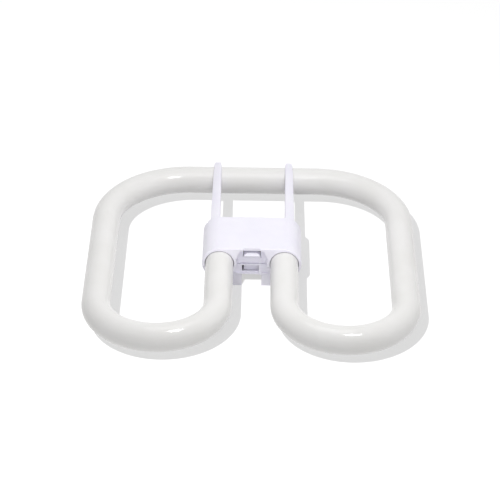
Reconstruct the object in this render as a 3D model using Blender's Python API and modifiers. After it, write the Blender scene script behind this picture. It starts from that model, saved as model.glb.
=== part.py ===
"""Square compact fluorescent lamp with a double-D tube and a plastic four-pin base.

Metres, +Z up. It lies face up: the origin is the middle of its footprint, on the surface that it stands
on, and the open ends of the two D shapes face -Y.
"""

import math

import bmesh
import bpy
from mathutils import Vector
from mathutils.geometry import interpolate_bezier

# Discharge tube
OUTLINE_WIDTH = 0.207
OUTLINE_LENGTH = 0.205
TUBE_DIAMETER = 0.0176
LEG_SPACING = 0.0408
REAR_BEND_RADIUS = 0.0535
TUBE_END_Y = 0.0150
END_DOME_LENGTH = 0.0050
EXHAUST_TIP_RADIUS = 0.0021
EXHAUST_TIP_LENGTH = 0.0020

# Base housing, in the plan of the outline's centre
WALL = 0.0015
HOUSING_WALL = 0.0017
TUBE_CLEARANCE = 0.0004
CAVITY_EASE = 0.0002
HOUSING_FRONT_Y = -0.0106
HOUSING_REAR_Y = 0.0292
REAR_ROUNDING = 0.0014
FRONT_ROUNDING = 0.0004
CENTRE_WALL_Y = -0.0054
RECESS_TOP_HALF_WIDTH = 0.0076
PARTING_BELOW_AXIS = 0.0025
PARTING_GAP = 0.0003

# Arms that hold the far run of the tube
ARM_SPACING = 0.0474
ARM_TIP_WIDTH = 0.0052
ARM_ROOT_WIDTH = 0.0062
ARM_DEPTH = 0.0046
ARM_EDGE_ROUNDING = 0.0011
ARM_TOP_DROP = 0.00025
SADDLE_RADIUS = 0.0118
SADDLE_NARROWING = (0.0014, 0.0074)
SADDLE_BACK_SHARE = 0.45
SADDLE_CLEARANCE = 0.00035
SADDLE_REACH_BELOW_AXIS = 0.0012

# Latch between cover and body
LATCH_WIDTH = 0.0100
LATCH_TIP_WIDTH = 0.0062
LATCH_THICKNESS = 0.0012
LATCH_SIDE_CLEARANCE = 0.0004
LATCH_SETBACK = 0.0014
LATCH_NOSE_REACH = 0.0010
LATCH_NOSE_HEIGHT = 0.0008
WINDOW_SILL_ABOVE_AXIS = 0.0021
WINDOW_LIP_CUTBACK = 0.0010
FRONT_RIB_X = 0.0054
FRONT_RIB_WIDTH = 0.0019
FRONT_RIB_REACH = 0.0007
GUSSET_X = 0.0072
GUSSET_HEIGHT = 0.0058
GUSSET_REACH = 0.0005
LEDGE_REACH = 0.0010
LEDGE_HEIGHT = 0.0008
RELEASE_SLOT = (-0.0062, 0.0044)

# Pin shroud under the housing
SHROUD_HEIGHT = 0.0085
SHROUD_SETBACK = 0.0003
SHROUD_WIDTH = 0.0310
SHROUD_REAR_Y = 0.0240
SHROUD_WALL = 0.0022
SHROUD_CORNER_RADIUS = 0.0020
KEYWAY_WIDTH = 0.0125

# Contact pins and lead wires
PIN_DIAMETER = 0.0024
PIN_LENGTH_OUTSIDE = 0.0070
PIN_LENGTH_INSIDE = 0.0022
PIN_SPACING_X = 0.0100
PIN_SPACING_Y = 0.0080
PIN_CENTRE_Y = 0.0130
PIN_CLEARANCE = 0.0003
PIN_BOSS_RADIUS = 0.0026
PIN_BOSS_HEIGHT = 0.0008
LEAD_DIAMETER = 0.0006
LEAD_SPACING = 0.0064
LEAD_RUN_OUT = 0.0095
LEAD_RISE = 0.0080
LEAD_STEPS = 14

# Facets
ROUND_STEPS = 24
RIM_STEPS = 5
CREST_STEPS = 5
GUSSET_STEPS = 6
NARROWING_STEPS = 5
SADDLE_OUTER_STEPS = 16
SADDLE_INNER_STEPS = 28
SADDLE_FRONT_STEPS = 6
BEND_STEP = math.radians(7.5)
DOME_SHARES = (0.9, 0.7, 0.4, 0.0)
PIN_STEPS = 16
PIN_TIP_TURNS = (0.5, 1.0)

# Worked out from the sizes above
TUBE_RADIUS = TUBE_DIAMETER / 2
BORE_RADIUS = TUBE_RADIUS + TUBE_CLEARANCE
HOUSING_RADIUS = BORE_RADIUS + HOUSING_WALL
LEG_X = LEG_SPACING / 2
SIDE_X = OUTLINE_WIDTH / 2 - TUBE_RADIUS
RUN_Y = OUTLINE_LENGTH / 2 - TUBE_RADIUS
FRONT_BEND_RADIUS = (SIDE_X - LEG_X) / 2
AXIS_Z = SHROUD_HEIGHT + HOUSING_RADIUS
PARTING_Z = AXIS_Z - PARTING_BELOW_AXIS
PLATE_BOTTOM_Z = SHROUD_HEIGHT
PLATE_TOP_Z = PLATE_BOTTOM_Z + WALL
OUTLINE_CENTRE_Y = (TUBE_RADIUS - SADDLE_RADIUS) / 2
INNER_FRONT_Y = CENTRE_WALL_Y + WALL
INNER_REAR_Y = HOUSING_REAR_Y - WALL
FAR = 0.1


def clear_scene():
    for thing in list(bpy.data.objects):
        bpy.data.objects.remove(thing, do_unlink=True)


def new_collection(name):
    made = bpy.data.collections.new(name)
    bpy.context.scene.collection.children.link(made)
    return made


def material(name, colour, roughness, metallic=0.0):
    made = bpy.data.materials.new(name)
    made.use_nodes = True
    shader = made.node_tree.nodes["Principled BSDF"]
    shader.inputs["Base Color"].default_value = (*colour, 1.0)
    shader.inputs["Roughness"].default_value = roughness
    shader.inputs["Metallic"].default_value = metallic
    return made


def add_part(name, mesh, finish):
    """A piece of the lamp, placed in the plan of the tube's outline."""
    made = bpy.data.objects.new(name, mesh)
    LAMP.objects.link(made)
    made.parent = FRAME
    mesh.materials.clear()
    mesh.materials.append(finish)
    return made


def add_tool(name, mesh):
    """A cutter or a shape to be joined, left out of the lamp."""
    made = bpy.data.objects.new(name, mesh)
    TOOLS.objects.link(made)
    made.parent = FRAME
    made.hide_render = True
    made.display_type = "WIRE"
    return made


def combine(target, tool, operation):
    step = target.modifiers.new(f"{operation.lower()} {tool.name}", "BOOLEAN")
    step.operation = operation
    step.solver = "EXACT"
    step.object = tool


def mesh_of(thing):
    """The mesh that an object shows with its modifiers, its caps welded, in place of the object."""
    bpy.context.view_layer.update()
    graph = bpy.context.evaluated_depsgraph_get()
    mesh = bpy.data.meshes.new_from_object(thing.evaluated_get(graph))
    mesh.transform(thing.matrix_world)
    shape = bmesh.new()
    shape.from_mesh(mesh)
    bmesh.ops.remove_doubles(shape, verts=shape.verts, dist=1e-6)
    bmesh.ops.recalc_face_normals(shape, faces=shape.faces)
    shape.to_mesh(mesh)
    shape.free()
    bpy.data.objects.remove(thing, do_unlink=True)
    return mesh


def box_mesh(name, low, high):
    shape = bmesh.new()
    bmesh.ops.create_cube(shape, size=1)
    for vertex in shape.verts:
        for axis in range(3):
            vertex.co[axis] = low[axis] if vertex.co[axis] < 0 else high[axis]
    mesh = bpy.data.meshes.new(name)
    shape.to_mesh(mesh)
    shape.free()
    return mesh


def cylinder_mesh(name, radius, start, end, steps=2 * ROUND_STEPS):
    """A cylinder from one point to another."""
    start, end = Vector(start), Vector(end)
    shape = bmesh.new()
    bmesh.ops.create_cone(
        shape, cap_ends=True, segments=steps, radius1=radius, radius2=radius, depth=(end - start).length
    )
    turn = Vector((0, 0, 1)).rotation_difference(end - start)
    for vertex in shape.verts:
        vertex.co = turn @ vertex.co + (start + end) / 2
    mesh = bpy.data.meshes.new(name)
    shape.to_mesh(mesh)
    shape.free()
    return mesh


def arc(centre, radius, start, end, steps):
    """Points on an arc in a plane, from one angle to another, in degrees."""
    angles = [math.radians(start + (end - start) * i / steps) for i in range(steps + 1)]
    return [(centre[0] + radius * math.cos(a), centre[1] + radius * math.sin(a)) for a in angles]


def prism_mesh(name, outline, low, high, along):
    """A flat outline drawn out from low to high along X, Y or Z.

    The outline's two numbers are (Y, Z) along X, (X, Z) along Y and (X, Y) along Z.
    """
    flat = bpy.data.curves.new(name, "CURVE")
    flat.dimensions = "2D"
    flat.fill_mode = "BOTH"
    flat.extrude = (high - low) / 2
    spline = flat.splines.new("POLY")
    spline.points.add(len(outline) - 1)
    for point, (u, v) in zip(spline.points, outline):
        point.co = (u, v, 0, 1)
    spline.use_cyclic_u = True
    thing = bpy.data.objects.new(name, flat)
    bpy.context.scene.collection.objects.link(thing)
    middle = (low + high) / 2
    thing.rotation_euler, thing.location = {
        "X": ((math.pi / 2, 0, math.pi / 2), (middle, 0, 0)),
        "Y": ((math.pi / 2, 0, 0), (0, middle, 0)),
        "Z": ((0, 0, 0), (0, 0, middle)),
    }[along]
    return mesh_of(thing)


def stadium(radius):
    """Section of the housing: two half rounds about the legs, joined by flats."""
    right = arc((LEG_X, AXIS_Z), radius, -90, 90, ROUND_STEPS)
    return right + [(-x, z) for x, z in reversed(right)]


def loft_mesh(name, sections):
    """A closed solid through (y, outline) sections with equally many points."""
    shape = bmesh.new()
    rings = [[shape.verts.new((x, y, z)) for x, z in outline] for y, outline in sections]
    for near, far in zip(rings, rings[1:]):
        for i in range(len(near)):
            shape.faces.new((near[i - 1], near[i], far[i], far[i - 1]))
    shape.faces.new(rings[0])
    shape.faces.new(rings[-1])
    bmesh.ops.recalc_face_normals(shape, faces=shape.faces)
    mesh = bpy.data.meshes.new(name)
    shape.to_mesh(mesh)
    shape.free()
    return mesh


def rounded_rectangle(low, high, radius, steps=4):
    corners = (
        ((high[0] - radius, low[1] + radius), -90),
        ((high[0] - radius, high[1] - radius), 0),
        ((low[0] + radius, high[1] - radius), 90),
        ((low[0] + radius, low[1] + radius), 180),
    )
    return [p for centre, start in corners for p in arc(centre, radius, start, start + 90, steps)]


def swept_mesh(name, route, radius, resolution):
    """A round rod along (point, thickness factor) pairs."""
    path = bpy.data.curves.new(name, "CURVE")
    path.dimensions = "3D"
    path.twist_mode = "Z_UP"
    path.bevel_depth = radius
    path.bevel_resolution = resolution
    path.use_fill_caps = True
    spline = path.splines.new("POLY")
    spline.points.add(len(route) - 1)
    for point, (place, factor) in zip(spline.points, route):
        point.co = (*place, 1)
        point.radius = factor
    thing = bpy.data.objects.new(name, path)
    bpy.context.scene.collection.objects.link(thing)
    return mesh_of(thing)


def smooth(part, angle=30):
    """Shades round faces smooth and leaves real edges sharp."""
    part.data.shade_smooth()
    part.data.set_sharp_from_angle(angle=math.radians(angle))


def tube_half():
    """Centreline of the right half of the tube, from its end in the housing to the middle of the far run."""
    front_steps = round(math.pi / BEND_STEP)
    rear_steps = round(math.pi / 2 / BEND_STEP)
    front_centre = (LEG_X + FRONT_BEND_RADIUS, -RUN_Y + FRONT_BEND_RADIUS)
    rear_centre = (SIDE_X - REAR_BEND_RADIUS, RUN_Y - REAR_BEND_RADIUS)
    flat = arc(front_centre, FRONT_BEND_RADIUS, 180, 360, front_steps)
    flat += arc(rear_centre, REAR_BEND_RADIUS, 0, 90, rear_steps)
    bends = [(Vector((x, y, AXIS_Z)), 1.0) for x, y in flat]
    return tube_end() + bends


def tube_end():
    """The sealed end: an exhaust tip, a dome and the start of the leg."""
    tip = EXHAUST_TIP_RADIUS / TUBE_RADIUS
    shares = [math.sqrt(1 - tip**2), *DOME_SHARES]
    dome_y = TUBE_END_Y - END_DOME_LENGTH
    dome = [(dome_y + END_DOME_LENGTH * s, math.sqrt(1 - s * s)) for s in shares]
    stations = [(TUBE_END_Y + EXHAUST_TIP_LENGTH, tip), *dome]
    return [(Vector((LEG_X, y, AXIS_Z)), factor) for y, factor in stations]


def make_tube():
    """One sealed piece of glass, bent in one plane."""
    right = tube_half()
    left = [(Vector((-place.x, place.y, place.z)), factor) for place, factor in reversed(right)]
    mesh = swept_mesh("discharge_tube", right + left, TUBE_RADIUS, 10)
    smooth(add_part("discharge_tube", mesh, PHOSPHOR_GLASS), 50)


def housing_form(name, radius, front_y, rear_y, front_rounding, rear_rounding):
    """The housing's outside or its cavity: stadium sections, with rounded rims."""
    sections = [(front_y, stadium(radius - front_rounding))]
    if front_rounding:
        sections.append((front_y + front_rounding, stadium(radius)))
    for i in range(RIM_STEPS + 1):
        turn = math.pi / 2 * i / RIM_STEPS
        reach = rear_rounding * (1 - math.sin(turn))
        sections.append((rear_y - reach, stadium(radius - rear_rounding * (1 - math.cos(turn)))))
    return loft_mesh(name, sections)


def housing_outer(name):
    return housing_form(name, HOUSING_RADIUS, HOUSING_FRONT_Y, HOUSING_REAR_Y, FRONT_ROUNDING, REAR_ROUNDING)


def housing_tools():
    """What hollows the housing, which its upper and lower halves share."""
    radius = BORE_RADIUS + CAVITY_EASE
    cavity = housing_form("cavity", radius, INNER_FRONT_Y, INNER_REAR_Y, 0, REAR_ROUNDING / 2)
    bores = []
    for side, x in (("left", -LEG_X), ("right", LEG_X)):
        front = (x, HOUSING_FRONT_Y - WALL, AXIS_Z)
        back = (x, INNER_FRONT_Y + WALL, AXIS_Z)
        bores.append(add_tool(f"{side}_bore", cylinder_mesh(f"{side}_bore", BORE_RADIUS, front, back)))
    low = LEG_X - WALL
    right = [
        (low, PLATE_BOTTOM_Z - WALL),
        (low, AXIS_Z + WINDOW_SILL_ABOVE_AXIS),
        (LEG_X - HOUSING_RADIUS + WALL / 2, AXIS_Z + WINDOW_SILL_ABOVE_AXIS),
        (RECESS_TOP_HALF_WIDTH, AXIS_Z + HOUSING_RADIUS - HOUSING_WALL),
    ]
    outline = right + [(-x, z) for x, z in reversed(right)]
    recess = add_tool(
        "centre_recess", prism_mesh("centre_recess", outline, HOUSING_FRONT_Y - WALL, CENTRE_WALL_Y, "Y")
    )
    for side, x in (("left", -LEG_X), ("right", LEG_X)):
        front = (x, HOUSING_FRONT_Y - 2 * WALL, AXIS_Z)
        back = (x, INNER_REAR_Y, AXIS_Z)
        collar = cylinder_mesh(f"{side}_collar", HOUSING_RADIUS, front, back)
        combine(recess, add_tool(f"{side}_collar", collar), "DIFFERENCE")
    return [add_tool("cavity", cavity), *bores, recess]


def arm_side_outline():
    """Side view (Y, Z) of an arm: a bar that ends in a saddle over the tube's far run."""
    under = AXIS_Z + HOUSING_RADIUS - ARM_TOP_DROP - ARM_DEPTH
    above = AXIS_Z + SADDLE_RADIUS
    root = HOUSING_REAR_Y - REAR_ROUNDING - WALL / 2
    inner = TUBE_RADIUS + SADDLE_CLEARANCE
    centre = (RUN_Y, AXIS_Z)
    lip = math.degrees(math.asin(SADDLE_REACH_BELOW_AXIS / inner))
    under_angle = 180 - math.degrees(math.asin((under - AXIS_Z) / SADDLE_RADIUS))
    outline = [(root, under), (root, above)]
    outline += arc(centre, SADDLE_RADIUS, 90, -lip, SADDLE_OUTER_STEPS)
    outline += arc(centre, inner, -lip, 180 + lip, SADDLE_INNER_STEPS)
    outline += arc(centre, SADDLE_RADIUS, 180 + lip, under_angle, SADDLE_FRONT_STEPS)
    return outline


def arm_section(x, width):
    """Section (X, Z) of an arm. Its top follows the housing's round side."""
    side = math.copysign(1, x)
    radius = HOUSING_RADIUS - ARM_TOP_DROP
    inner = abs(x) - width / 2
    outer = abs(x) + width / 2
    edge = min(ARM_EDGE_ROUNDING, width / 3)

    def top(u):
        return AXIS_Z + math.sqrt(radius**2 - max(u - LEG_X, 0) ** 2)

    low = AXIS_Z - HOUSING_RADIUS
    outline = [(inner, low), (outer, low)]
    outline += arc((outer - edge / 2, top(outer - edge / 2) - edge / 2), edge / 2, 0, 60, 2)
    crest = inner + edge
    start = outer - edge / 2
    for i in range(1, CREST_STEPS):
        u = start + (crest - start) * i / CREST_STEPS
        outline.append((u, top(u)))
    outline += arc((crest, top(crest) - edge), edge, 90, 180, 4)
    points = [(side * u, z) for u, z in outline]
    return points if side > 0 else points[::-1]


def arm_mesh(name, x):
    """The space that an arm takes up: it narrows towards its tip, and behind the crest to a tongue."""
    start, end = (RUN_Y + reach for reach in SADDLE_NARROWING)
    back = SADDLE_BACK_SHARE
    stations = [(HOUSING_REAR_Y - REAR_ROUNDING - WALL, ARM_ROOT_WIDTH), (HOUSING_REAR_Y, ARM_ROOT_WIDTH)]
    for i in range(NARROWING_STEPS + 1):
        turn = math.pi / 2 * i / NARROWING_STEPS
        width = ARM_TIP_WIDTH * (back + (1 - back) * math.cos(turn))
        stations.append((start + (end - start) * math.sin(turn), width))
    stations.append((RUN_Y + HOUSING_RADIUS + WALL, ARM_TIP_WIDTH * back))
    return loft_mesh(name, [(y, arm_section(x, width)) for y, width in stations])


def arm(side, x):
    wide = ARM_ROOT_WIDTH
    made = add_tool(f"{side}_arm", prism_mesh(f"{side}_arm", arm_side_outline(), x - wide, x + wide, "X"))
    combine(made, add_tool(f"{side}_arm_form", arm_mesh(f"{side}_arm_form", x)), "INTERSECT")
    return made


def gusset(side, x):
    """The web that widens a collar's foot towards the middle of the front wall."""
    turn = math.copysign(1, x)
    collar = LEG_X - HOUSING_RADIUS
    low = PARTING_Z + PARTING_GAP / 2
    corner = (GUSSET_X, low + GUSSET_HEIGHT)
    outline = [(collar + WALL, low), (collar + WALL, corner[1])]
    for i in range(GUSSET_STEPS + 1):
        angle = math.pi / 2 * i / GUSSET_STEPS
        u = corner[0] + (collar - corner[0]) * math.cos(angle)
        outline.append((u, corner[1] - GUSSET_HEIGHT * math.sin(angle)))
    points = [(turn * u, z) for u, z in outline]
    if turn < 0:
        points.reverse()
    name = f"{side}_gusset"
    mesh = prism_mesh(name, points, CENTRE_WALL_Y - GUSSET_REACH, CENTRE_WALL_Y + WALL / 2, "Y")
    return add_tool(name, mesh)


def make_cover():
    """Upper moulding of the base, with the two arms that reach over the tube's far run."""
    cover = add_part("base_cover", housing_outer("base_cover"), WHITE_PLASTIC)
    above = box_mesh("above_parting", (-FAR, -FAR, PARTING_Z + PARTING_GAP / 2), (FAR, FAR, FAR))
    combine(cover, add_tool("above_parting", above), "INTERSECT")
    for side, x in (("left", -ARM_SPACING / 2), ("right", ARM_SPACING / 2)):
        combine(cover, arm(side, x), "UNION")
    for tool in HOLLOWS:
        combine(cover, tool, "DIFFERENCE")
    half = LATCH_WIDTH / 2 + LATCH_SIDE_CLEARANCE
    window = box_mesh(
        "latch_window",
        (-half, HOUSING_FRONT_Y - WALL, AXIS_Z + WINDOW_SILL_ABOVE_AXIS),
        (half, INNER_FRONT_Y + WALL / 2, AXIS_Z + BORE_RADIUS - WALL / 4),
    )
    combine(cover, add_tool("latch_window", window), "DIFFERENCE")
    cutback = box_mesh(
        "lip_cutback",
        (-half, HOUSING_FRONT_Y - WALL, AXIS_Z),
        (half, HOUSING_FRONT_Y + WINDOW_LIP_CUTBACK, AXIS_Z + HOUSING_RADIUS + WALL),
    )
    combine(cover, add_tool("lip_cutback", cutback), "DIFFERENCE")
    low, high = PARTING_Z + PARTING_GAP / 2, AXIS_Z + WINDOW_SILL_ABOVE_AXIS
    combine(cover, front_rib("upper_rib", low, high), "UNION")
    for side, x in (("left", -LEG_X), ("right", LEG_X)):
        combine(cover, gusset(side, x), "UNION")
    smooth(cover)


def front_rib(name, low, high):
    return add_tool(
        name,
        box_mesh(
            name,
            (FRONT_RIB_X - FRONT_RIB_WIDTH / 2, CENTRE_WALL_Y - FRONT_RIB_REACH, low),
            (FRONT_RIB_X + FRONT_RIB_WIDTH / 2, CENTRE_WALL_Y + WALL / 2, high),
        ),
    )


def make_body():
    """Lower moulding of the base: the lower collars, the latch, the pin plate and the pin shroud."""
    body = add_part("base_body", housing_outer("base_body"), WHITE_PLASTIC)
    below = box_mesh("below_parting", (-FAR, -FAR, -FAR), (FAR, FAR, PARTING_Z - PARTING_GAP / 2))
    combine(body, add_tool("below_parting", below), "INTERSECT")
    for tool in HOLLOWS:
        combine(body, tool, "DIFFERENCE")
    add_shroud(body)
    release = box_mesh(
        "release_slot",
        (RELEASE_SLOT[0], CENTRE_WALL_Y - WALL, PLATE_TOP_Z + LEDGE_HEIGHT),
        (RELEASE_SLOT[1], INNER_FRONT_Y + WALL, PARTING_Z - PARTING_GAP - LEDGE_HEIGHT),
    )
    combine(body, add_tool("release_slot", release), "DIFFERENCE")
    for name, top in (("parting_ledge", PARTING_Z - PARTING_GAP / 2), ("plate_ledge", PLATE_TOP_Z)):
        combine(body, ledge(name, top), "UNION")
    combine(body, front_rib("lower_rib", PLATE_BOTTOM_Z, PARTING_Z - PARTING_GAP / 2), "UNION")
    combine(body, latch(), "UNION")
    for name, x, y in pin_places():
        low = (x, y, PLATE_BOTTOM_Z - PIN_BOSS_HEIGHT)
        high = (x, y, PLATE_TOP_Z - WALL / 2)
        boss = cylinder_mesh(f"{name}_boss", PIN_BOSS_RADIUS, low, high)
        combine(body, add_tool(f"{name}_boss", boss), "UNION")
    for name, x, y in pin_places():
        hole = cylinder_mesh(
            f"{name}_hole", PIN_DIAMETER / 2 + PIN_CLEARANCE, (x, y, 0), (x, y, AXIS_Z), PIN_STEPS
        )
        combine(body, add_tool(f"{name}_hole", hole), "DIFFERENCE")
    smooth(body)


def add_shroud(body):
    """The skirt round the pins, open below, with a keyway in its front wall."""
    half = SHROUD_WIDTH / 2
    front = CENTRE_WALL_Y + SHROUD_SETBACK
    outline = rounded_rectangle((-half, front), (half, SHROUD_REAR_Y), SHROUD_CORNER_RADIUS)
    block = prism_mesh("pin_shroud", outline, 0, PLATE_BOTTOM_Z + WALL / 2, "Z")
    combine(body, add_tool("pin_shroud", block), "UNION")
    inner = half - SHROUD_WALL
    outline = rounded_rectangle(
        (-inner, front + SHROUD_WALL), (inner, SHROUD_REAR_Y - SHROUD_WALL), SHROUD_CORNER_RADIUS / 2
    )
    recess = prism_mesh("pin_recess", outline, -WALL, PLATE_BOTTOM_Z, "Z")
    combine(body, add_tool("pin_recess", recess), "DIFFERENCE")
    keyway = box_mesh(
        "keyway",
        (-KEYWAY_WIDTH / 2, front - WALL, -WALL),
        (KEYWAY_WIDTH / 2, front + 2 * SHROUD_WALL, PLATE_BOTTOM_Z),
    )
    combine(body, add_tool("keyway", keyway), "DIFFERENCE")


def ledge(name, top):
    """A narrow step across the front wall between the two collars."""
    reach = LEG_X - HOUSING_RADIUS + WALL / 2
    return add_tool(
        name,
        box_mesh(
            name,
            (-reach, CENTRE_WALL_Y - LEDGE_REACH, top - LEDGE_HEIGHT),
            (reach, CENTRE_WALL_Y + WALL / 2, top),
        ),
    )


def latch():
    """The snap tongue: a strip behind the front walls, with a nose through the cover's window."""
    front = INNER_FRONT_Y + PARTING_GAP
    back = front + LATCH_SETBACK + LATCH_THICKNESS
    sill = AXIS_Z + WINDOW_SILL_ABOVE_AXIS + PARTING_GAP
    nose = CENTRE_WALL_Y - LATCH_NOSE_REACH
    outline = [
        (back, PLATE_TOP_Z - WALL / 2),
        (back, sill + LATCH_NOSE_HEIGHT),
        (front, sill + LATCH_NOSE_HEIGHT),
        (nose, sill + PARTING_GAP),
        (nose, sill),
        (front, sill),
        (front, PARTING_Z + LATCH_SETBACK),
        (front + LATCH_SETBACK, PARTING_Z),
        (front + LATCH_SETBACK, PLATE_TOP_Z - WALL / 2),
    ]
    mesh = prism_mesh("latch", outline, -LATCH_WIDTH / 2, LATCH_WIDTH / 2, "X")
    share = LATCH_TIP_WIDTH / LATCH_WIDTH
    for vertex in mesh.vertices:
        if vertex.co.z > sill + LATCH_NOSE_HEIGHT / 2:
            vertex.co.x *= share
    return add_tool("latch", mesh)


def pin_places():
    """(name, x, y) of each pin, two a side."""
    columns = (-PIN_SPACING_X / 2, PIN_SPACING_X / 2)
    rows = (PIN_CENTRE_Y - PIN_SPACING_Y / 2, PIN_CENTRE_Y + PIN_SPACING_Y / 2)
    places = [(x, y) for x in columns for y in rows]
    return [(f"contact_pin_{i}", x, y) for i, (x, y) in enumerate(places, 1)]


def make_pins():
    radius = PIN_DIAMETER / 2
    top = PLATE_TOP_Z + PIN_LENGTH_INSIDE
    tip = PLATE_BOTTOM_Z - PIN_LENGTH_OUTSIDE
    profile = [(0, top), (radius, top), (radius, tip + radius)]
    profile += [(radius * math.cos(a), tip + radius - radius * math.sin(a)) for a in PIN_TIP_TURNS]
    profile.append((0, tip))
    for name, x, y in pin_places():
        shape = bmesh.new()
        corners = [shape.verts.new((r, 0, z - top)) for r, z in profile]
        for a, b in zip(corners, corners[1:]):
            shape.edges.new((a, b))
        mesh = bpy.data.meshes.new(name)
        shape.to_mesh(mesh)
        shape.free()
        pin = add_part(name, mesh, BRASS)
        pin.location = (x, y, top)
        turn = pin.modifiers.new("turn", "SCREW")
        turn.steps = turn.render_steps = PIN_STEPS
        turn.use_merge_vertices = True
        turn.merge_threshold = 1e-5
        turn.use_smooth_shade = True


def make_leads():
    """Each wire runs from the seal at a tube's end to the top of one pin."""
    pin_top = PLATE_TOP_Z + PIN_LENGTH_INSIDE + PIN_CLEARANCE
    offset = LEAD_SPACING / 2
    dome_height = END_DOME_LENGTH * math.sqrt(1 - (offset / TUBE_RADIUS) ** 2)
    start_y = TUBE_END_Y - END_DOME_LENGTH + dome_height + PIN_CLEARANCE
    for i, (_, x, y) in enumerate(pin_places(), 1):
        side = math.copysign(1, x)
        row = math.copysign(1, y - PIN_CENTRE_Y)
        start = Vector((side * (LEG_X + row * offset), start_y, AXIS_Z))
        out = start + Vector((0, LEAD_RUN_OUT, 0))
        end = Vector((x, y, pin_top))
        above = end + Vector((0, 0, LEAD_RISE))
        points = interpolate_bezier(start, out, above, end, LEAD_STEPS)
        route = [(point, 1.0) for point in points]
        mesh = swept_mesh(f"lead_wire_{i}", route, LEAD_DIAMETER / 2, 2)
        smooth(add_part(f"lead_wire_{i}", mesh, TINNED_WIRE))


clear_scene()
LAMP = new_collection("square_fluorescent_lamp")
TOOLS = new_collection("cutters")
FRAME = bpy.data.objects.new("outline_centre", None)
LAMP.objects.link(FRAME)
FRAME.location = (0, OUTLINE_CENTRE_Y, 0)
PHOSPHOR_GLASS = material("phosphor_glass", (0.86, 0.86, 0.85), 0.18)
WHITE_PLASTIC = material("white_plastic", (0.86, 0.85, 0.90), 0.38)
BRASS = material("brass", (0.72, 0.55, 0.27), 0.3, 1.0)
TINNED_WIRE = material("tinned_wire", (0.66, 0.66, 0.68), 0.35, 1.0)
HOLLOWS = housing_tools()
make_tube()
make_cover()
make_body()
make_pins()
make_leads()
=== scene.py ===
"""Scene for the square compact fluorescent lamp: fine tube, moulded base, materials, light and camera.

Metres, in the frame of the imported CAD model. The lamp lies face up on the floor, at z = 0.
"""

import math

import bmesh
import bpy
from mathutils import Matrix, Vector


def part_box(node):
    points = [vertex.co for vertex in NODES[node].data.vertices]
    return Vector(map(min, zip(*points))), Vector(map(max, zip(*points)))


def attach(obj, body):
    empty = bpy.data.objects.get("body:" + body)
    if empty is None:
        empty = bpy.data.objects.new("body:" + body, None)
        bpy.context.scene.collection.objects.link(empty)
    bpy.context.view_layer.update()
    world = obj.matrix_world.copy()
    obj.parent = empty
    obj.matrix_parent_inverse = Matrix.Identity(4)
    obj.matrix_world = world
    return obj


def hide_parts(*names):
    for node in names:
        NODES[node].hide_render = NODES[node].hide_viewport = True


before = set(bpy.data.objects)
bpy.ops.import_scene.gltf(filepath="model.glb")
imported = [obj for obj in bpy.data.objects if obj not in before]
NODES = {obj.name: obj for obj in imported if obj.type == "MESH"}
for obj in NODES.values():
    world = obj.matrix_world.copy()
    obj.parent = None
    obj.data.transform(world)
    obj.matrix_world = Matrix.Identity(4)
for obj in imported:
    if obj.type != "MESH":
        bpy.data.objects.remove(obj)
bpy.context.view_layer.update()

# Camera, from the fit of the tube's outline in the photograph; angles in radians
FOCAL_PIXELS = 2162.797
FRAME_PIXELS = 500
SENSOR_MM = 36
PITCH = 0.558489
YAW = -0.002
ROLL = 0.014514
CAMERA_FROM_TUBE_CENTRE = (0.001041, -1.157429, 0.727006)
CLIP_START = 0.05
CLIP_END = 20

# Tube, as in the part's source
TUBE_RADIUS = 0.0088
LEG_X = 0.0204
REAR_BEND_RADIUS = 0.0535
TUBE_END_Y = 0.0150
END_DOME_LENGTH = 0.0050
EXHAUST_TIP_RADIUS = 0.0021
EXHAUST_TIP_LENGTH = 0.0020
TUBE_LOW, TUBE_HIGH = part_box("discharge_tube")
TUBE_CENTRE = (TUBE_LOW + TUBE_HIGH) / 2
SIDE_X = TUBE_HIGH.x - TUBE_RADIUS
RUN_Y = (TUBE_HIGH.y - TUBE_LOW.y) / 2 - TUBE_RADIUS
FRONT_BEND_RADIUS = (SIDE_X - LEG_X) / 2

# How fine the tube's mesh is: sides of a ring, and where the rings are
TUBE_SIDES = 64
BEND_STEP_DEGREES = 1.5
DOME_STEPS = 12
STRAIGHT_SHARES = (0.25, 0.5, 0.75)

# Release tab of the snap tongue: (y, z, half width) round its side, from the tongue's face
TAB_PROFILE = (
    (-0.0050, 0.02175, 0.00505),
    (-0.0050, 0.02520, 0.00505),
    (-0.0050, 0.02665, 0.00305),
    (-0.0104, 0.02665, 0.00305),
    (-0.0119, 0.02520, 0.00505),
    (-0.0119, 0.02480, 0.00505),
    (-0.0080, 0.02175, 0.00505),
)
# The flat faces of a side, by their corners' places in the profile: the upper one leans inwards
TAB_SIDE_FACES = ((0, 1, 4, 5, 6), (1, 2, 3, 4))
TAB_EDGE = 0.00012
TAB_EDGE_SEGMENTS = 2

# How far the plastic's edges are rounded for light, and with how many samples
EDGE_RADIUS = 0.00018
EDGE_SAMPLES = 6

# An edge of a CAD piece stays sharp where its faces meet at more than this
SHARP_ANGLE = math.radians(30)

# Between these values of the noise a surface goes from its first colour to its second
COLOUR_BAND = (0.35, 0.65)

WHITE = (1, 1, 1, 1)

# Floor: half its side, its own grey, its roughness, and what a visible ray adds to it
FLOOR_REACH = 3.0
FLOOR_GREY = (0.38, 0.38, 0.38, 1)
FLOOR_ROUGHNESS = 0.9
FLOOR_LIFT = 0.54

# Light of the room on the lamp, and of the background that is seen
ROOM_STRENGTH = 0.52
BACKGROUND_STRENGTH = 1.0

# Point lamp that casts the floor's shadow; its radius softens the edge
SHADOW_PLACE = (-0.406, -1.331, 1.510)
SHADOW_POWER = 240
SHADOW_RADIUS = 0.011

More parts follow.
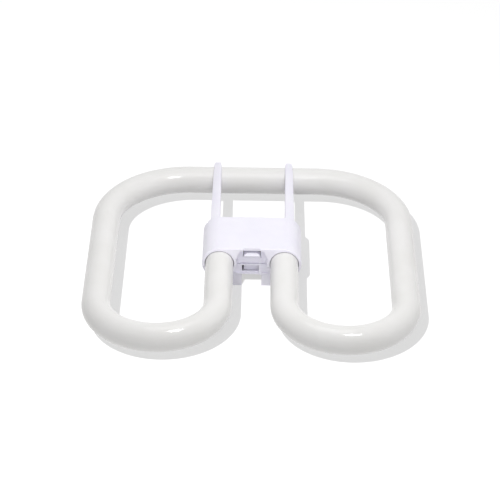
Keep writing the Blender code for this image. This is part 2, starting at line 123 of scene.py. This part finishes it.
# Area lamps: name, shape, place, aim, size, watts and which pieces they light
LAMP_AIM = (0, 0, 0.02)
LAMPS = (
    ("front", "RECTANGLE", (0, -1.10, 0.45), LAMP_AIM, (0.8, 0.4), 3.6, "plastic_only"),
    ("tube_light", "RECTANGLE", (0, -0.08, 0.34), (0, 0.02, 0.02), (0.20, 0.12), 0.08, "tube_only"),
    ("glint", "DISK", (0.120, -0.206, 0.525), LAMP_AIM, (0.15, 0.15), 1.5, "tube_only"),
    ("overhead", "RECTANGLE", (0, 0.01, 0.34), (0, 0.01, 0.02), (0.20, 0.16), 0.26, "all_but_floor"),
    ("key", "DISK", (0.126, -0.216, 0.55), LAMP_AIM, (0.16, 0.16), 0.54, "all_but_floor"),
    ("rear", "RECTANGLE", (0, 0.60, 0.50), LAMP_AIM, (0.6, 0.4), 0.1, "all_but_floor"),
    ("side", "RECTANGLE", (0.75, -0.25, 0.30), LAMP_AIM, (0.5, 0.4), 0.3, "all_but_floor"),
)
# This lamp only makes the highlights on the glass
GLOSS_LAMP = "glint"


def link_object(name, data):
    """A new object of this data, linked to the scene."""
    made = bpy.data.objects.new(name, data)
    bpy.context.scene.collection.objects.link(made)
    return made


def add_node(tree, kind, **settings):
    """A new node; a setting is one of its inputs or else one of its properties."""
    node = tree.nodes.new(kind)
    for key, value in settings.items():
        if key in node.inputs:
            node.inputs[key].default_value = value
        else:
            setattr(node, key, value)
    return node


def add_noise(tree, place, scale, detail):
    """The value of a noise at this place."""
    noise = add_node(tree, "ShaderNodeTexNoise", Scale=scale, Detail=detail)
    tree.links.new(place, noise.inputs["Vector"])
    return noise.outputs["Fac"]


def linear(*rgb):
    """The linear colour of an opaque 8-bit sRGB colour."""
    shares = [value / 255 for value in rgb]
    channels = [s / 12.92 if s <= 0.04045 else ((s + 0.055) / 1.055) ** 2.4 for s in shares]
    return (*channels, 1.0)


def new_material(name, looks):
    """A material, its node tree and its surface shader, whose inputs are set by name."""
    made = bpy.data.materials.new(name)
    made.use_nodes = True
    shader = made.node_tree.nodes["Principled BSDF"]
    for key, value in looks.items():
        shader.inputs[key].default_value = value
    return made, made.node_tree, shader


def noise_material(name, looks, colours, colour_noise, grain_noise, grain_strength, grain_depth):
    """A material in a soft mix of two colours with a fine grain, in object space, and its bump node.

    A noise is given as (scale, detail).
    """
    made, tree, shader = new_material(name, looks)
    place = add_node(tree, "ShaderNodeTexCoord").outputs["Object"]
    blend = add_noise(tree, place, *colour_noise)
    ramp = add_node(tree, "ShaderNodeValToRGB")
    for i, (position, colour) in enumerate(zip(COLOUR_BAND, colours)):
        ramp.color_ramp.elements[i].position = position
        ramp.color_ramp.elements[i].color = colour
    tree.links.new(blend, ramp.inputs["Fac"])
    tree.links.new(ramp.outputs["Color"], shader.inputs["Base Color"])
    grain = add_noise(tree, place, *grain_noise)
    bump = add_node(tree, "ShaderNodeBump", Strength=grain_strength, Distance=grain_depth)
    tree.links.new(grain, bump.inputs["Height"])
    tree.links.new(bump.outputs["Normal"], shader.inputs["Normal"])
    return made, bump


def glass_material():
    """Clear glass over a matt white phosphor coating."""
    looks = {
        "Roughness": 0.55,
        "Coat Weight": 0.6,
        "Coat Roughness": 0.085,
        "Coat IOR": 1.42,
        "Specular IOR Level": 0.1,
    }
    colours = (linear(238, 237, 235), linear(242, 241, 240))
    made, _ = noise_material(
        "coated_glass",
        looks,
        colours,
        colour_noise=(38, 3),
        grain_noise=(2600, 2),
        grain_strength=0.05,
        grain_depth=0.00005,
    )
    return made


def plastic_material():
    """White moulded plastic with a faint lavender cast, a fine eroded grain and rounded edges."""
    looks = {
        "Roughness": 0.36,
        "Specular IOR Level": 0.45,
        "Subsurface Weight": 0.08,
        "Subsurface Radius": (0.0012, 0.0010, 0.0012),
    }
    colours = (linear(242, 240, 252), linear(246, 244, 254))
    made, bump = noise_material(
        "moulded_plastic",
        looks,
        colours,
        colour_noise=(60, 4),
        grain_noise=(5200, 3),
        grain_strength=0.12,
        grain_depth=0.00004,
    )
    tree = made.node_tree
    edge = add_node(tree, "ShaderNodeBevel", samples=EDGE_SAMPLES, Radius=EDGE_RADIUS)
    tree.links.new(edge.outputs["Normal"], bump.inputs["Normal"])
    return made


def metal_material(name, roughness, scale, colours):
    """Satin metal, with its grain six times as fine as its shades."""
    looks = {"Metallic": 1.0, "Roughness": roughness}
    made, _ = noise_material(
        name,
        looks,
        colours,
        colour_noise=(scale, 4),
        grain_noise=(scale * 6, 2),
        grain_strength=0.08,
        grain_depth=0.00003,
    )
    return made


def arc(centre, radius, start, end):
    """(x, y) along an arc, its ends given in degrees."""
    steps = round((end - start) / BEND_STEP_DEGREES)
    angles = [math.radians(start + (end - start) * i / steps) for i in range(steps + 1)]
    return [(centre[0] + radius * math.cos(a), centre[1] + radius * math.sin(a)) for a in angles]


def tube_route():
    """(x, y, thickness share) along the tube's right half, from its sealed end to the far run."""
    tip_share = EXHAUST_TIP_RADIUS / TUBE_RADIUS
    dome_y = TUBE_END_Y - END_DOME_LENGTH
    steepest = math.asin(math.sqrt(1 - tip_share**2))
    route = [(LEG_X, TUBE_END_Y + EXHAUST_TIP_LENGTH, tip_share)]
    for i in range(DOME_STEPS + 1):
        angle = steepest * (1 - i / DOME_STEPS)
        route.append((LEG_X, dome_y + END_DOME_LENGTH * math.sin(angle), math.cos(angle)))
    front = (LEG_X + FRONT_BEND_RADIUS, -RUN_Y + FRONT_BEND_RADIUS)
    rear = (SIDE_X - REAR_BEND_RADIUS, RUN_Y - REAR_BEND_RADIUS)
    full = [(LEG_X, dome_y + (front[1] - dome_y) * share) for share in STRAIGHT_SHARES]
    full += arc(front, FRONT_BEND_RADIUS, 180, 360)
    full += [(SIDE_X, front[1] + (rear[1] - front[1]) * share) for share in STRAIGHT_SHARES]
    full += arc(rear, REAR_BEND_RADIUS, 0, 90)
    full.append((rear[0] / 2, RUN_Y))
    return route + [(x, y, 1.0) for x, y in full]


def finished_mesh(name, shape, finish):
    """The mesh of a bmesh, which is freed, in its finish."""
    mesh = bpy.data.meshes.new(name)
    shape.to_mesh(mesh)
    shape.free()
    mesh.materials.append(finish)
    return mesh


def make_tube(finish):
    """The bent glass tube as one smooth closed surface."""
    right = tube_route()
    route = right + [(-x, y, share) for x, y, share in reversed(right)]
    shape = bmesh.new()
    rings = []
    for i, (x, y, share) in enumerate(route):
        before = Vector(route[max(i - 1, 0)][:2])
        after = Vector(route[min(i + 1, len(route) - 1)][:2])
        along = (after - before).normalized()
        across = Vector((along.y, -along.x))
        ring = []
        for j in range(TUBE_SIDES):
            turn = 2 * math.pi * j / TUBE_SIDES
            out = TUBE_RADIUS * share * math.cos(turn)
            up = TUBE_RADIUS * share * math.sin(turn)
            spot = Vector((x, y)) + across * out
            ring.append(shape.verts.new((spot.x, TUBE_CENTRE.y + spot.y, TUBE_CENTRE.z + up)))
        rings.append(ring)
    for near, far in zip(rings, rings[1:]):
        for j in range(TUBE_SIDES):
            shape.faces.new((near[j - 1], near[j], far[j], far[j - 1]))
    shape.faces.new(rings[0])
    shape.faces.new(rings[-1])
    bmesh.ops.recalc_face_normals(shape, faces=shape.faces)
    mesh = finished_mesh("glass_tube", shape, finish)
    mesh.shade_smooth()
    made = link_object("glass_tube", mesh)
    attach(made, "root")
    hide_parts("discharge_tube")
    return made


def make_latch_tab(finish):
    """The tongue's release tab, whose sloping face shows white in the latch window."""
    shape = bmesh.new()
    left, right = [
        [shape.verts.new((sign * half, y, z)) for y, z, half in TAB_PROFILE]
        for sign in (-1, 1)
    ]
    for i in range(len(TAB_PROFILE)):
        j = (i + 1) % len(TAB_PROFILE)
        shape.faces.new((left[i], left[j], right[j], right[i]))
    for side in (left, right):
        for corners in TAB_SIDE_FACES:
            shape.faces.new([side[i] for i in corners])
    bmesh.ops.recalc_face_normals(shape, faces=shape.faces)
    bmesh.ops.bevel(
        shape,
        geom=list(shape.edges),
        offset=TAB_EDGE,
        offset_type="OFFSET",
        segments=TAB_EDGE_SEGMENTS,
        profile=0.5,
        affect="EDGES",
    )
    made = link_object("latch_tab", finished_mesh("latch_tab", shape, finish))
    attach(made, "root")
    return made


def dress_node(name, finish):
    """Gives a CAD node its finish and smooth round faces."""
    node = NODES[name]
    node.data.materials.clear()
    node.data.materials.append(finish)
    node.data.shade_smooth()
    node.data.set_sharp_from_angle(angle=SHARP_ANGLE)
    return node


def turn_about_z(angle):
    """The matrix of a turn about z."""
    c = math.cos(angle)
    s = math.sin(angle)
    return Matrix(((c, -s, 0), (s, c, 0), (0, 0, 1)))


def make_camera():
    """The photograph's camera."""
    c = math.cos(PITCH)
    s = math.sin(PITCH)
    tilt = Matrix(((1, 0, 0), (0, -s, -c), (0, c, -s)))
    image_axes = (turn_about_z(ROLL) @ tilt @ turn_about_z(YAW)).transposed()
    camera_axes = image_axes @ Matrix.Diagonal((1, -1, -1))
    lens = bpy.data.cameras.new("camera")
    lens.sensor_width = SENSOR_MM
    lens.lens = SENSOR_MM * FOCAL_PIXELS / FRAME_PIXELS
    lens.clip_start = CLIP_START
    lens.clip_end = CLIP_END
    camera = link_object("camera", lens)
    place = TUBE_CENTRE + Vector(CAMERA_FROM_TUBE_CENTRE)
    camera.matrix_world = Matrix.Translation(place) @ camera_axes.to_4x4()
    bpy.context.scene.camera = camera


def seen_ray(tree):
    """1 for the rays that show a background: camera, glossy and transmission rays."""
    path = add_node(tree, "ShaderNodeLightPath")
    seen = path.outputs["Is Camera Ray"]
    for kind in ("Is Glossy Ray", "Is Transmission Ray"):
        either = add_node(tree, "ShaderNodeMath", operation="MAXIMUM")
        tree.links.new(seen, either.inputs[0])
        tree.links.new(path.outputs[kind], either.inputs[1])
        seen = either.outputs[0]
    return seen


def make_floor():
    """A floor that a visible ray sees white, on which the lamp's shadow shows."""
    reach = FLOOR_REACH
    corners = [(-reach, -reach, 0), (reach, -reach, 0), (reach, reach, 0), (-reach, reach, 0)]
    mesh = bpy.data.meshes.new("floor")
    mesh.from_pydata(corners, [], [(0, 1, 2, 3)])
    looks = {
        "Base Color": FLOOR_GREY,
        "Roughness": FLOOR_ROUGHNESS,
        "Specular IOR Level": 0.0,
        "Emission Color": WHITE,
    }
    made, tree, shader = new_material("white_floor", looks)
    lift = add_node(tree, "ShaderNodeMath", operation="MULTIPLY")
    lift.inputs[1].default_value = FLOOR_LIFT
    tree.links.new(seen_ray(tree), lift.inputs[0])
    tree.links.new(lift.outputs[0], shader.inputs["Emission Strength"])
    mesh.materials.append(made)
    floor = link_object("floor", mesh)
    return floor


def make_world():
    """A white room: a visible ray sees it at full strength, and the lamp is lit with less."""
    world = bpy.data.worlds.new("studio")
    bpy.context.scene.world = world
    world.use_nodes = True
    tree = world.node_tree
    room = tree.nodes["Background"]
    room.inputs["Color"].default_value = WHITE
    room.inputs["Strength"].default_value = ROOM_STRENGTH
    white = add_node(tree, "ShaderNodeBackground", Color=WHITE, Strength=BACKGROUND_STRENGTH)
    mix = add_node(tree, "ShaderNodeMixShader")
    tree.links.new(seen_ray(tree), mix.inputs["Fac"])
    tree.links.new(room.outputs[0], mix.inputs[1])
    tree.links.new(white.outputs[0], mix.inputs[2])
    tree.links.new(mix.outputs[0], tree.nodes["World Output"].inputs["Surface"])


def make_lamps(floor, tube, plastic_parts):
    """The lamps, each of which lights one group of pieces."""
    receivers = {}
    for name, pieces in (
        ("floor_only", [floor]),
        ("all_but_floor", [floor]),
        ("plastic_only", plastic_parts),
        ("tube_only", [tube]),
    ):
        receivers[name] = bpy.data.collections.new(name)
        for piece in pieces:
            receivers[name].objects.link(piece)
    receivers["all_but_floor"].collection_objects[0].light_linking.link_state = "EXCLUDE"

    bulb = bpy.data.lights.new("shadow_light", "POINT")
    bulb.energy = SHADOW_POWER
    bulb.shadow_soft_size = SHADOW_RADIUS
    shadow = link_object("shadow_light", bulb)
    shadow.location = SHADOW_PLACE
    shadow.light_linking.receiver_collection = receivers["floor_only"]

    for name, shape, place, aim, size, power, lit in LAMPS:
        light = bpy.data.lights.new(name, "AREA")
        light.shape = shape
        light.size, light.size_y = size
        light.energy = power
        lamp = link_object(name, light)
        lamp.location = place
        lamp.rotation_euler = (Vector(aim) - Vector(place)).to_track_quat("-Z", "Y").to_euler()
        lamp.visible_diffuse = name != GLOSS_LAMP
        lamp.light_linking.receiver_collection = receivers[lit]


GLASS = glass_material()
PLASTIC = plastic_material()
BRASS = metal_material(
    "brass", roughness=0.28, scale=300, colours=(linear(196, 160, 92), linear(214, 180, 112))
)
WIRE = metal_material(
    "tinned_wire", roughness=0.35, scale=500, colours=(linear(176, 176, 180), linear(200, 200, 204))
)

make_camera()
tube = make_tube(GLASS)
plastic_parts = [make_latch_tab(PLASTIC)]
for name in ("base_cover", "base_body"):
    plastic_parts.append(dress_node(name, PLASTIC))
for number in range(1, 5):
    dress_node(f"contact_pin_{number}", BRASS)
    dress_node(f"lead_wire_{number}", WIRE)
floor = make_floor()
make_world()
make_lamps(floor, tube, plastic_parts)

bpy.context.scene.view_settings.view_transform = "Standard"
